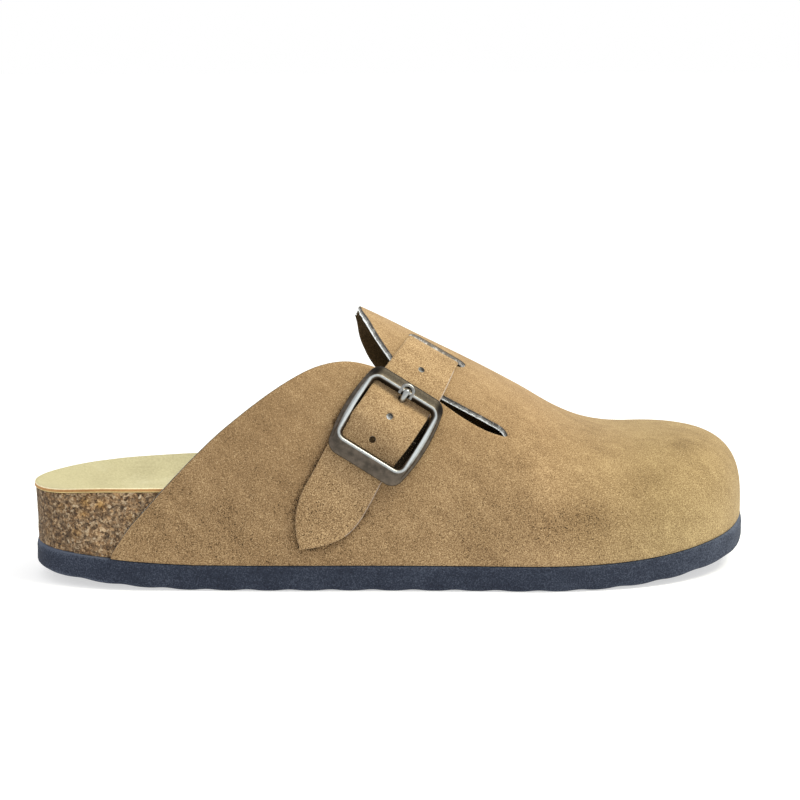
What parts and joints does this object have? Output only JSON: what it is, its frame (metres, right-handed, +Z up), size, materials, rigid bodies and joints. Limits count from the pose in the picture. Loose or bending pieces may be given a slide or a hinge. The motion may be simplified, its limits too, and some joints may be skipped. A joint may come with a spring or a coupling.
{
  "type": "clog mule",
  "caption": "Right-foot suede clog mule with a cork footbed, foam outsole, high tongue flap, instep strap and square pin buckle.",
  "frame": {"origin": "middle of the shoe's box in plan, on the floor under the sole", "axes": "+X to the toe, -Y to the outer (lateral) side, +Z up"},
  "size_m": [0.272, 0.1009, 0.0986],
  "materials": {
    "outsole_foam": "matt foam with a fine speckle",
    "cork": "sealed granulated cork, satin",
    "insole_suede": "cream suede with an orange-tan cut edge",
    "upper_suede": "tan suede nap with a grey cut edge",
    "strap_suede": "tan suede nap",
    "buckle_metal": "dark bronze satin plating",
    "prong_metal": "polished dark bronze"
  },
  "bodies": {
    "root": {"outsole": "outsole_foam", "footbed": "cork", "insole": "insole_suede", "upper": "upper_suede", "instep_strap": "strap_suede", "buckle_frame": "buckle_metal", "buckle_prong": "prong_metal"}
  },
  "joints": []
}
